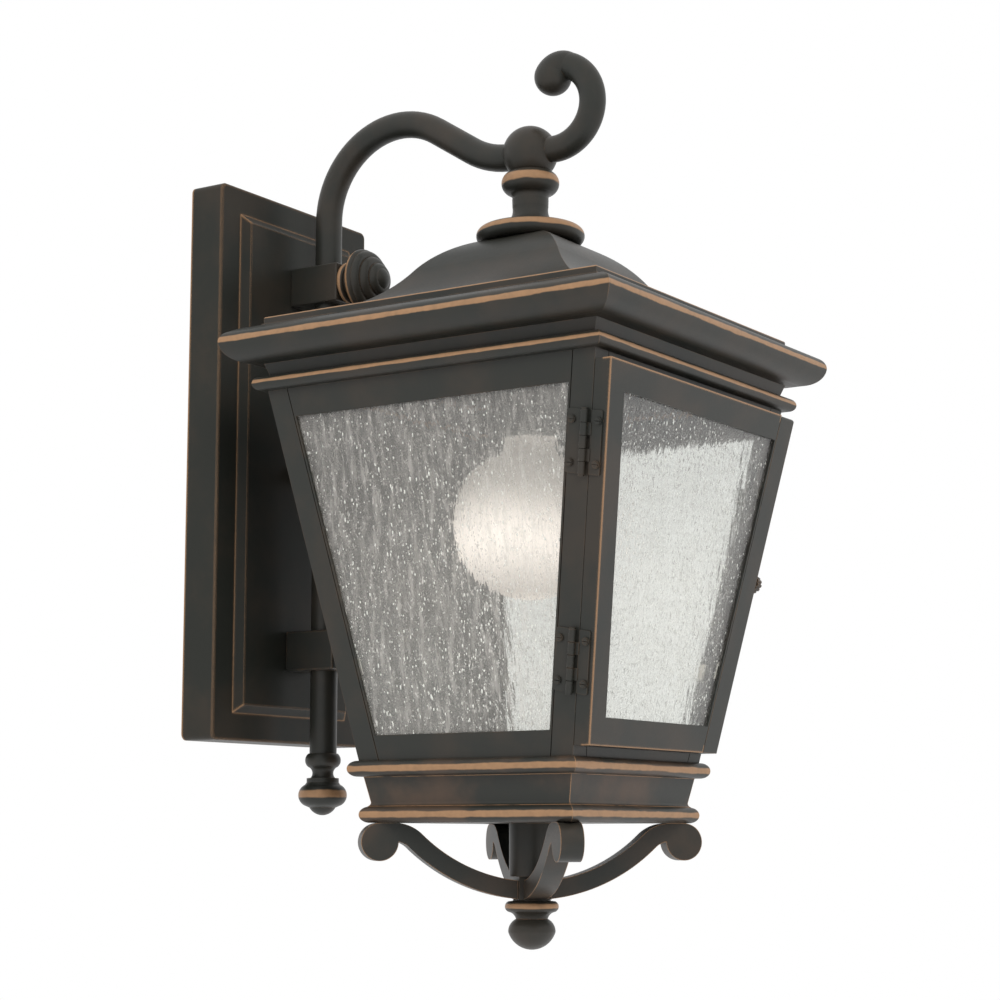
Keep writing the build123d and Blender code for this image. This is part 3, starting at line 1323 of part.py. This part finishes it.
LEAD_START = (-(PLATE_INSIDE - TERMINAL_DEPTH / 2), TERMINAL_Z + TERMINAL_HEIGHT / 2 - 4)
with BuildPart() as supply_lead:
    with BuildLine(Plane.YZ):
        out_of_block = Line(LEAD_START, (LEAD_START[0], UPPER_BLOCK_Z - LEAD_BEND))
        turn_out = JernArc(
            start=out_of_block @ 1, tangent=out_of_block % 1, radius=LEAD_BEND, arc_size=90
        )
        cross = Line(turn_out @ 1, (-ROD_Y + LEAD_BEND, UPPER_BLOCK_Z))
        turn_up = JernArc(start=cross @ 1, tangent=cross % 1, radius=LEAD_BEND, arc_size=-90)
        up_rod = Line(turn_up @ 1, (-ROD_Y, ARM_SPRING_Z))
        along_arm = arm_bends(up_rod, AXIS_Y - LEAD_BEND)
        turn_down = JernArc(
            start=along_arm @ 1, tangent=along_arm % 1, radius=LEAD_BEND, arc_size=90
        )
        Line(turn_down @ 1, (-AXIS_Y, CHAMBER_BOTTOM_Z + 1))
    with BuildSketch(Plane(origin=(0, LEAD_START[0], LEAD_START[1]), z_dir=(0, 0, 1))):
        Circle(LEAD_RADIUS)
    sweep()
save(supply_lead, "supply_lead")
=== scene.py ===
import json
import math
import random

import bmesh
import bpy
from mathutils import Matrix, Vector


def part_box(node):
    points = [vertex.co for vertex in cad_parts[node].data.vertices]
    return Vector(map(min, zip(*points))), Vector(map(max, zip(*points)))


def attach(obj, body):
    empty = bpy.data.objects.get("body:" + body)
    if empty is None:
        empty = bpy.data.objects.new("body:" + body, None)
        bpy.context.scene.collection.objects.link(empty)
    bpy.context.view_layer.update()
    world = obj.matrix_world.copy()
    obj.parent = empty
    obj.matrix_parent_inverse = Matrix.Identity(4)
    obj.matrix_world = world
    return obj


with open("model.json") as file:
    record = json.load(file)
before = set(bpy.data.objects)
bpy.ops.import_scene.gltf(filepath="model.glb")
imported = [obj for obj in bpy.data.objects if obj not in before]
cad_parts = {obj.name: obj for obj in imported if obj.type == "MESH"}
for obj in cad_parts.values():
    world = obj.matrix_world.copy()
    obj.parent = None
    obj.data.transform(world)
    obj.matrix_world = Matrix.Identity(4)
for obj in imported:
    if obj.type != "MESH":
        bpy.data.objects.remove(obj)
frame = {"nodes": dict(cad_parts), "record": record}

MM = 0.001
X, Y, Z = 0, 1, 2
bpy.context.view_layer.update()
record = frame["record"]
nodes = frame["nodes"]


# ---------------------------------------------------------------- node helpers
class Builder:
    """Small helper that adds nodes to one material and links them."""

    def __init__(self, material):
        material.use_nodes = True
        self.tree = material.node_tree
        self.tree.nodes.clear()
        self.output = self.add("ShaderNodeOutputMaterial")

    def add(self, kind, **settings):
        node = self.tree.nodes.new(kind)
        for name, value in settings.items():
            setattr(node, name, value)
        return node

    def link(self, source, target):
        self.tree.links.new(source, target)

    def put(self, value, socket):
        """Set a socket from a number or from another node's output."""
        if isinstance(value, bpy.types.NodeSocket):
            self.link(value, socket)
        else:
            socket.default_value = value

    def math(self, operation, first, second=0.0, clamp=False):
        node = self.add("ShaderNodeMath", operation=operation, use_clamp=clamp)
        self.put(first, node.inputs[0])
        self.put(second, node.inputs[1])
        return node.outputs[0]

    def noise(self, scale, detail=3.0, roughness=0.6, stretch=(1, 1, 1)):
        """Noise over the object's own coordinates, which are metres in the row frame."""
        coordinates = self.add("ShaderNodeTexCoord")
        mapping = self.add("ShaderNodeMapping")
        mapping.inputs["Scale"].default_value = stretch
        self.link(coordinates.outputs["Object"], mapping.inputs["Vector"])
        noise = self.add("ShaderNodeTexNoise")
        noise.inputs["Scale"].default_value = scale
        noise.inputs["Detail"].default_value = detail
        noise.inputs["Roughness"].default_value = roughness
        self.link(mapping.outputs["Vector"], noise.inputs["Vector"])
        return noise.outputs["Fac"]

    def between(self, value, low, high):
        """0 at low, 1 at high, smooth between."""
        node = self.add("ShaderNodeMapRange", interpolation_type="SMOOTHSTEP")
        self.put(value, node.inputs["Value"])
        node.inputs["From Min"].default_value = low
        node.inputs["From Max"].default_value = high
        return node.outputs["Result"]

    def axis(self, index):
        """The object coordinate along one axis, X, Y or Z."""
        coordinates = self.add("ShaderNodeTexCoord")
        parts = self.add("ShaderNodeSeparateXYZ")
        self.link(coordinates.outputs["Object"], parts.inputs[0])
        return parts.outputs[index]

    def mix_colour(self, factor, first, second):
        node = self.add("ShaderNodeMix", data_type="RGBA")
        self.put(factor, node.inputs[0])
        self.put(first, node.inputs[6])
        self.put(second, node.inputs[7])
        return node.outputs[2]


# ---------------------------------------------------------------- where wear may show
# the body, and the door with it, widens by this much on each side for each unit of height
BODY_SLOPE = 0.18294
DOOR_HALF_WIDTH = 88.48 * MM  # the door's half width at height 0
door_low, door_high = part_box("door_frame")
plate_low, plate_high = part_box("backplate")


def outline(b):
    """1 along the outer edges of the door's front face, which leans outward, 0 elsewhere."""
    half_width = b.math("MULTIPLY", b.axis(Z), BODY_SLOPE)
    flank = b.math("SUBTRACT", b.math("ABSOLUTE", b.axis(X)), half_width)
    side = b.between(flank, DOOR_HALF_WIDTH - 5 * MM, DOOR_HALF_WIDTH - 4 * MM)
    middle = (door_low[Z] + door_high[Z]) / 2
    half_height = (door_high[Z] - door_low[Z]) / 2
    rise = b.math("ABSOLUTE", b.math("SUBTRACT", b.axis(Z), middle))
    ends = b.between(rise, half_height - 4 * MM, half_height - 3 * MM)
    lean = b.math("MULTIPLY", b.math("SUBTRACT", door_high[Z], b.axis(Z)), BODY_SLOPE)
    front = b.math("ADD", lean, door_low[Y])
    behind = b.between(b.math("SUBTRACT", b.axis(Y), front), 3 * MM, 5 * MM)
    return b.math("MULTIPLY", b.math("MAXIMUM", side, ends), b.math("SUBTRACT", 1.0, behind))


def outside(b):
    """1 on the faces of the wall plate that look away from its middle, 0 inside the pan."""
    coordinates = b.add("ShaderNodeTexCoord")
    from_middle = b.add("ShaderNodeVectorMath", operation="MULTIPLY_ADD")
    b.link(coordinates.outputs["Object"], from_middle.inputs[0])
    from_middle.inputs[1].default_value = (1, 0, 1)
    from_middle.inputs[2].default_value = (0, -50 * MM, -(plate_low[Z] + plate_high[Z]) / 2)
    away = b.add("ShaderNodeVectorMath", operation="DOT_PRODUCT")
    b.link(from_middle.outputs[0], away.inputs[0])
    b.link(coordinates.outputs["Normal"], away.inputs[1])
    return b.between(away.outputs["Value"], 0, 4 * MM)


# ---------------------------------------------------------------- bronze
DARK = (0.0150, 0.0158, 0.0132, 1)
BROWN = (0.050, 0.032, 0.021, 1)
COPPER = (0.300, 0.172, 0.090, 1)


def edge_wear(b, worn, even, reach):
    """Up to 1 near an edge, found by how far a rounded normal turns from the true one."""
    bevel = b.add("ShaderNodeBevel", samples=6)
    bevel.inputs["Radius"].default_value = reach * MM
    geometry = b.add("ShaderNodeNewGeometry")
    dot = b.add("ShaderNodeVectorMath", operation="DOT_PRODUCT")
    b.link(bevel.outputs[0], dot.inputs[0])
    b.link(geometry.outputs["Normal"], dot.inputs[1])
    turned = b.math("SUBTRACT", 1.0, dot.outputs["Value"])
    patchy = b.between(worn, 0.40 - even, 0.60 - even)
    return b.math("MULTIPLY", b.between(turned, 0.02, 0.12), patchy)


def band_wear(b, worn, streak, axis, low, high):
    """Up to 1 between two heights along an axis, in millimetres, with a ragged border."""
    middle = (low + high) / 2 * MM
    half = (high - low) / 2 * MM
    away = b.math("ABSOLUTE", b.math("SUBTRACT", b.axis(axis), middle))
    ragged = b.math("ADD", away, b.math("MULTIPLY", b.math("SUBTRACT", worn, 0.5), half * 0.9))
    band = b.math("SUBTRACT", 1.0, b.between(ragged, half * 0.6, half))
    depth = b.math("ADD", 0.62, b.math("MULTIPLY", streak, 0.45))
    return b.math("MULTIPLY", band, depth)


def bronze(name, bands=(), edge=1.0, brown=0.3, even=0.0, reach=0.8, keep=None, gloss=0.32):
    """Oil-rubbed bronze: dark paint, browner in patches, rubbed to copper on edges and bands.

    Each band is (axis, low, high) in millimetres: the stretch of the part that hands and
    weather have rubbed, such as the nose of a moulding. edge is how strongly edges are rubbed,
    even is how unbroken the rubbing is, reach is how far in millimetres it spreads from an
    edge, and keep is a function whose result is 1 where the edges may be rubbed.
    """
    material = bpy.data.materials.new(name)
    b = Builder(material)
    shader = b.add("ShaderNodeBsdfPrincipled")
    b.link(shader.outputs[0], b.output.inputs["Surface"])
    blotch = b.between(b.noise(22.0, 4.0), 0.40, 0.66)
    base = b.mix_colour(b.math("MULTIPLY", blotch, brown), DARK, BROWN)

    worn = b.noise(70.0, 3.0)
    streak = b.noise(260.0, 2.0)
    rub = b.math("MULTIPLY", edge_wear(b, worn, even, reach), edge)
    if keep:
        rub = b.math("MULTIPLY", rub, keep(b))
    for axis, low, high in bands:
        rub = b.math("MAXIMUM", rub, band_wear(b, worn, streak, axis, low, high))
    rub = b.math("MINIMUM", rub, 1.0)
    b.link(b.mix_colour(rub, base, COPPER), shader.inputs["Base Color"])
    b.put(b.math("MULTIPLY", rub, 0.35), shader.inputs["Metallic"])

    grain = b.math("MULTIPLY", b.noise(900.0, 2.0), 0.12)
    b.put(b.math("ADD", 0.36, grain), shader.inputs["Roughness"])
    shader.inputs["Specular IOR Level"].default_value = gloss
    bump = b.add("ShaderNodeBump")
    bump.inputs["Strength"].default_value = 0.06
    bump.inputs["Distance"].default_value = 0.3 * MM
    b.link(b.noise(1400.0, 2.0), bump.inputs["Height"])
    b.link(bump.outputs[0], shader.inputs["Normal"])
    return material


# ---------------------------------------------------------------- other finishes
def plain(name, colour, rough, metallic=0.0, coat=0.0):
    """A plain finish, the same all over."""
    material = bpy.data.materials.new(name)
    b = Builder(material)
    shader = b.add("ShaderNodeBsdfPrincipled")
    b.link(shader.outputs[0], b.output.inputs["Surface"])
    shader.inputs["Base Color"].default_value = (*colour, 1)
    shader.inputs["Roughness"].default_value = rough
    shader.inputs["Metallic"].default_value = metallic
    shader.inputs["Coat Weight"].default_value = coat
    return material


def frosted(name, bright_z, reach_z):
    """Frosted bulb glass, lit from inside and brightest at one height."""
    material = bpy.data.materials.new(name)
    b = Builder(material)
    shader = b.add("ShaderNodeBsdfPrincipled")
    b.link(shader.outputs[0], b.output.inputs["Surface"])
    shader.inputs["Base Color"].default_value = (0.56, 0.51, 0.485, 1)
    shader.inputs["Roughness"].default_value = 0.5
    shader.inputs["Emission Color"].default_value = (1.0, 0.89, 0.81, 1)
    away = b.math("ABSOLUTE", b.math("SUBTRACT", b.axis(2), bright_z))
    glow = b.math("SUBTRACT", 1.0, b.between(away, 0.0, reach_z))
    b.put(b.math("ADD", 0.24, b.math("MULTIPLY", glow, 0.62)), shader.inputs["Emission Strength"])
    return material


def relief(b):
    """The glass's surface: its bump, the drawn streaks and the pits."""
    ripple = b.noise(60.0, 2.0, stretch=(1, 1, 0.3))
    drawn = b.noise(330.0, 2.0, stretch=(1, 1, 0.12))
    pits = b.between(b.noise(820.0, 1.0, stretch=(1, 1, 0.5)), 0.62, 0.72)
    height = b.math("ADD", ripple, b.math("MULTIPLY", drawn, 0.20))
    height = b.math("ADD", height, b.math("MULTIPLY", pits, 0.16))
    bump = b.add("ShaderNodeBump")
    bump.inputs["Strength"].default_value = 0.5
    bump.inputs["Distance"].default_value = 1.0 * MM
    b.link(height, bump.inputs["Height"])
    return bump.outputs[0], drawn, pits


def cloud(b):
    """The milkiness in the glass, lit as much from behind as from in front."""
    through = b.add("ShaderNodeBsdfTranslucent")
    through.inputs["Color"].default_value = (0.76, 0.75, 0.72, 1)
    back = b.add("ShaderNodeBsdfDiffuse")
    back.inputs["Color"].default_value = (0.70, 0.665, 0.625, 1)
    haze = b.add("ShaderNodeMixShader")
    b.link(through.outputs[0], haze.inputs[1])
    b.link(back.outputs[0], haze.inputs[2])
    return haze.outputs[0]


def seeded(name, milk):
    """Drawn glass: upright streaks, ripples and pits, and open to lamps' light. milk is its haze."""
    material = bpy.data.materials.new(name)
    b = Builder(material)
    bump, drawn, pits = relief(b)
    glass = b.add("ShaderNodeBsdfPrincipled")
    glass.inputs["Base Color"].default_value = (0.93, 0.945, 0.925, 1)
    glass.inputs["Transmission Weight"].default_value = 1.0
    glass.inputs["Roughness"].default_value = 0.04
    glass.inputs["IOR"].default_value = 1.45
    b.link(bump, glass.inputs["Normal"])

    streaks = b.between(drawn, 0.42, 0.74)
    cloudy = b.math("ADD", 0.10, b.math("MULTIPLY", streaks, 0.20))
    cloudy = b.math("ADD", cloudy, b.math("MULTIPLY", pits, 0.24))
    body = b.add("ShaderNodeMixShader")
    b.link(b.math("MULTIPLY", cloudy, milk), body.inputs[0])
    b.link(glass.outputs[0], body.inputs[1])
    b.link(cloud(b), body.inputs[2])

    clear = b.add("ShaderNodeBsdfTransparent")
    clear.inputs["Color"].default_value = (0.9, 0.92, 0.91, 1)
    ray = b.add("ShaderNodeLightPath")
    mix = b.add("ShaderNodeMixShader")
    b.link(ray.outputs["Is Shadow Ray"], mix.inputs[0])
    b.link(body.outputs[0], mix.inputs[1])
    b.link(clear.outputs[0], mix.inputs[2])
    b.link(mix.outputs[0], b.output.inputs["Surface"])
    return material


# ---------------------------------------------------------------- which node wears what
BRONZE = bronze("bronze plain", edge=0.35)
SHEET_BRONZE = bronze("bronze sheet", edge=0.10)
RUBBED = {
    "eave_moulding": bronze("bronze eave", [(Z, 44.6, 47.8)], edge=0.25, even=0.05),
    "top_bead": bronze("bronze top bead", [(Z, 25.2, 27.4)], edge=0.3),
    "roof_shell": bronze("bronze roof", [(Z, 57.9, 58.9)], edge=0.2),
    "roof_disc": bronze("bronze disc", [(Z, 106.4, 110.2)], edge=0.5),
    "neck_spool": bronze("bronze spool", [(Z, 132.6, 137.6)], edge=0.3),
    "base_top_bead": bronze("bronze base top bead", [(Z, -161.9, -158.3)], brown=1.0),
    "base_bottom_bead": bronze("bronze base bottom bead", [(Z, -183.5, -179.9)], brown=1.0),
    "base_band": bronze("bronze band", brown=1.0, even=0.1),
    "bottom_finial": bronze("bronze finial", [(Z, -226.4, -223.6)], edge=0.4),
    "rod_finial": bronze("bronze rod finial", [(Z, -172.6, -168.0)], edge=0.3, brown=0.8),
    "clamp_knob": bronze("bronze knob", [(Y, -58.8, -56.2), (Y, -67.4, -64.6)], edge=0.2),
    "backplate": bronze(
        "bronze plate", edge=2.0, brown=0.25, even=0.20, reach=2.2, keep=outside, gloss=0.16
    ),
    "lower_arm_block": bronze("bronze lower block", edge=1.2, even=0.12, reach=1.6),
    "door_frame": bronze("bronze door", edge=2.0, even=0.22, reach=1.8, keep=outline),
    "door_latch_stile": bronze("bronze latch stile", edge=0.35),
}
for corner in ("front_left", "front_right", "back_left", "back_right"):
    RUBBED[f"scroll_strap_{corner}"] = bronze(f"bronze strap {corner}", edge=0.9, brown=0.5, even=0.08)
    RUBBED[f"stile_{corner}"] = SHEET_BRONZE
SHEET_PANELS = ("side_panel_left", "side_panel_right", "front_panel", "back_panel", "floor_plate")
HINGES = ("body_hinge_leaves", "door_hinge_leaves", "hinge_pins", "body_hinge_screws", "door_hinge_screws")
for name in SHEET_PANELS + HINGES:
    RUBBED[name] = SHEET_BRONZE

SIDE_GLASS = seeded("side glass", 1.3)
PANES = {"glass_left": SIDE_GLASS, "glass_right": SIDE_GLASS}

FINISHES = {
    "seeded_glass": seeded("seeded glass", 0.5),
    "bulb_glass": frosted("frosted bulb", -52 * MM, 30 * MM),
    "cap_metal": plain("cap metal", (0.7, 0.7, 0.68), 0.3, metallic=1.0),
    "holder_plastic": plain("holder moulding", (0.05, 0.05, 0.047), 0.4),
    "lead_sleeve": plain("lead sleeve", (0.02, 0.02, 0.02), 0.5),
    "gasket_rubber": plain("gasket foam", (0.03, 0.03, 0.03), 0.85),
    "plated_steel": plain("plated steel", (0.62, 0.6, 0.55), 0.34, metallic=1.0),
    "brass_parts": plain("brass", (0.7, 0.5, 0.22), 0.3, metallic=1.0),
}


def dress(node_name, material):
    """Give a CAD node its material."""
    mesh = nodes[node_name].data
    mesh.materials.clear()
    mesh.materials.append(material)


for part in record["subparts"]:
    name = part["node"]
    slot = part["material_slot"]
    dress(name, RUBBED.get(name) or PANES.get(name) or FINISHES.get(slot) or BRONZE)


# ---------------------------------------------------------------- seeds in the glass
def add_piece(name, mesh, material, body):
    """Make one mesh into an object that rides on a CAD body."""
    for polygon in mesh.polygons:
        polygon.use_smooth = True
    mesh.materials.append(material)
    piece = bpy.data.objects.new(name, mesh)
    bpy.context.scene.collection.objects.link(piece)
    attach(piece, body)


def pane_frame(node_name):
    """Centre, axes and half sizes of a pane, measured from its mesh."""
    mesh = nodes[node_name].data
    points = [vertex.co.copy() for vertex in mesh.vertices]
    biggest = max(mesh.polygons, key=lambda face: face.area)
    normal = biggest.normal.copy()
    level = Vector((0, 0, 1)).cross(normal).normalized()
    upward = normal.cross(level).normalized()
    centre = sum(points, Vector()) / len(points)
    depths = [(point - centre).dot(normal) for point in points]
    rises = [(point - centre).dot(upward) for point in points]
    low = min(rises)
    high = max(rises)
    foot = [abs((point - centre).dot(level)) for point, rise in zip(points, rises) if rise < low + MM]
    head = [abs((point - centre).dot(level)) for point, rise in zip(points, rises) if rise > high - MM]
    middle = centre + normal * (min(depths) + max(depths)) / 2
    return middle, level, upward, normal, low, high, max(foot), max(head)


def unit_bubble():
    """Corner points and faces of one coarse round bubble of radius 1."""
    builder = bmesh.new()
    bmesh.ops.create_icosphere(builder, subdivisions=1, radius=1.0)
    builder.verts.index_update()
    points = [vertex.co.copy() for vertex in builder.verts]
    faces = [[vertex.index for vertex in face.verts] for face in builder.faces]
    builder.free()
    return points, faces


SEEDS_PER_PANE = 2200
PANE_MARGIN = 2 * MM
SEED_SMALLEST = 0.13 * MM
SEED_SPREAD = 0.34 * MM
SEED_DEPTH = 0.3 * MM
BUBBLE_POINTS, BUBBLE_FACES = unit_bubble()
# the seeds are real air bubbles, but their pale opaque white is painted reflection: it stands in for the
# glint a clear bubble catches
seed_glint_material = plain("seed", (0.90, 0.90, 0.86), 0.15, coat=0.6)


def seeds(node_name, body, seed_number):
    """Air bubbles drawn out along the pane, each a small upright ellipsoid in the glass."""
    middle, level, upward, normal, low, high, foot, head = pane_frame(node_name)
    turn = Matrix((level, upward, normal)).transposed()
    rng = random.Random(seed_number)
    points = []
    faces = []
    for _ in range(SEEDS_PER_PANE):
        share = rng.random()
        rise = low + PANE_MARGIN + share * (high - low - 2 * PANE_MARGIN)
        reach = foot + share * (head - foot) - PANE_MARGIN
        across = rng.uniform(-reach, reach)
        size = SEED_SMALLEST + SEED_SPREAD * rng.random() ** 3
        length = size * rng.uniform(1.1, 3.0)
        depth = rng.uniform(-SEED_DEPTH, SEED_DEPTH)
        place = middle + level * across + upward * rise + normal * depth
        shape = turn @ Matrix.Diagonal((size, length, size))
        first = len(points)
        points += [place + shape @ corner for corner in BUBBLE_POINTS]
        faces += [[first + index for index in face] for face in BUBBLE_FACES]
    mesh = bpy.data.meshes.new(f"seeds_{node_name}")
    mesh.from_pydata(points, [], faces)
    add_piece(f"seeds_{node_name}", mesh, seed_glint_material, body)


seeds("glass_left", "lantern", 11)
seeds("glass_right", "lantern", 12)
seeds("door_glass", "door", 13)

# ---------------------------------------------------------------- studio
scene = bpy.context.scene
scene.view_settings.view_transform = "Standard"
scene.view_settings.look = "None"
world = bpy.data.worlds.new("studio")
scene.world = world
world.use_nodes = True
world.node_tree.nodes["Background"].inputs["Color"].default_value = (1, 1, 1, 1)
world.node_tree.nodes["Background"].inputs["Strength"].default_value = 1.0

FLOOR_Z = -0.75
FLOOR_SIZE = 5.0
bpy.ops.mesh.primitive_plane_add(size=FLOOR_SIZE, location=(0, -0.3, FLOOR_Z))
floor = bpy.context.active_object
floor.name = "floor"
floor.data.materials.append(plain("floor", (0.82, 0.82, 0.82), 0.9))


def place_lamp(name, light, place):
    """Put a light in the scene so that it lights the lantern but isn't itself seen in the glass."""
    lamp = bpy.data.objects.new(name, light)
    lamp.location = place
    lamp.visible_glossy = False
    lamp.visible_transmission = False
    scene.collection.objects.link(lamp)
    return lamp


def area_light(name, place, size, power):
    """A square light in metres and watts, aimed at the middle of the lantern."""
    light = bpy.data.lights.new(name, "AREA")
    light.size = size
    light.energy = power
    lamp = place_lamp(name, light, place)
    heading = Vector(LANTERN_MIDDLE) - Vector(place)
    lamp.rotation_euler = heading.to_track_quat("-Z", "Y").to_euler()


LANTERN_MIDDLE = (0, -0.17, -0.05)
area_light("key", (-1.3, -1.6, 1.1), 0.9, 26)
area_light("fill", (1.6, -1.4, 0.4), 1.2, 14)
area_light("rim", (-1.4, 0.6, 0.8), 0.7, 12)

# a weak warm light just under the bulb, for what the bulb casts on the inside of the body
BELOW_BULB = 12 * MM
bulb_low, bulb_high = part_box("bulb_envelope")
bulb_light = bpy.data.lights.new("filament", "POINT")
bulb_light.energy = 0.02
bulb_light.color = (1.0, 0.93, 0.84)
bulb_light.shadow_soft_size = 20 * MM
place_lamp("filament", bulb_light, (0, (bulb_low[Y] + bulb_high[Y]) / 2, bulb_low[Z] - BELOW_BULB))

LENS_MM = 82.0
CAMERA_PLACE = (-940.7 * MM, -766.1 * MM, -193.7 * MM)
AZIMUTH = -56.85
ELEVATION = 8.49
camera_data = bpy.data.cameras.new("camera")
camera_data.lens = LENS_MM
camera_data.sensor_width = 36.0
camera = bpy.data.objects.new("camera", camera_data)
camera.location = CAMERA_PLACE
heading = Vector(
    (
        -math.sin(math.radians(AZIMUTH)) * math.cos(math.radians(ELEVATION)),
        math.cos(math.radians(AZIMUTH)) * math.cos(math.radians(ELEVATION)),
        math.sin(math.radians(ELEVATION)),
    )
)
camera.rotation_euler = heading.to_track_quat("-Z", "Y").to_euler()
scene.collection.objects.link(camera)
scene.camera = camera
